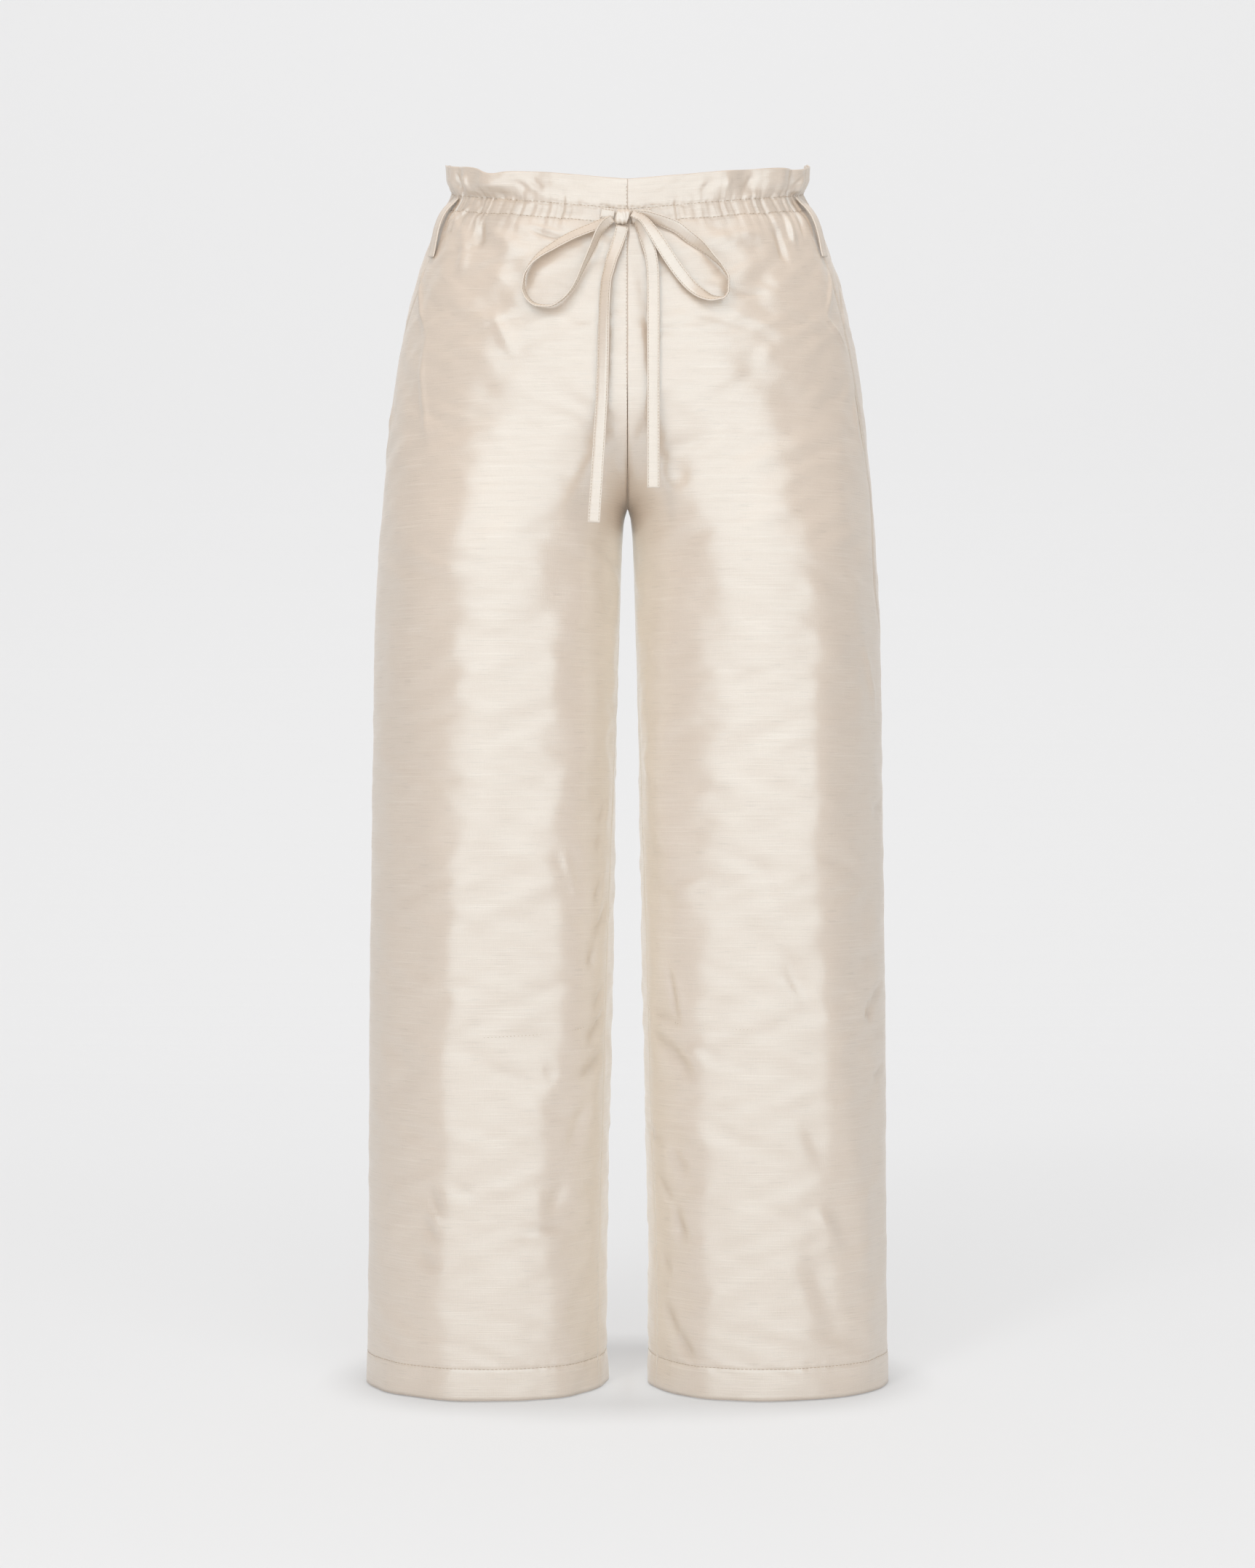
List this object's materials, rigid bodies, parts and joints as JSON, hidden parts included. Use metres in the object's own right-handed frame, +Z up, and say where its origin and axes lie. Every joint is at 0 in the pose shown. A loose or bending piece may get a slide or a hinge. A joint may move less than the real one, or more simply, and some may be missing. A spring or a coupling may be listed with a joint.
{
  "type": "drawstring wide-leg trousers",
  "caption": "Straight wide-leg trousers in slubbed silk, gathered on a drawstring below a frill at the waist, with side pockets and belt loops",
  "frame": {"origin": "middle of the waist, at the height where the belt loops and casing sit at the side seams and a wearer holds the trousers up", "axes": "+Z up, -Y the front of the trousers, +X the wearer's left"},
  "size_m": [0.4284, 0.2622, 1.0047],
  "materials": {
    "silk": "slubbed plain weave silk, warm ivory, soft satin sheen",
    "silk_trim": "the same silk, doubled, pressed flat and edge-stitched"
  },
  "bodies": {
    "root": {"front_left": "silk", "front_right": "silk", "back_left": "silk", "back_right": "silk", "pocket_left": "silk", "pocket_right": "silk", "belt_loop_left": "silk_trim", "belt_loop_right": "silk_trim", "tie_lead_left": "silk_trim", "tie_lead_right": "silk_trim", "tie_knot": "silk_trim", "tie_loop_left": "silk_trim", "tie_loop_right": "silk_trim", "tie_tail_left": "silk_trim", "tie_tail_right": "silk_trim"}
  },
  "joints": []
}
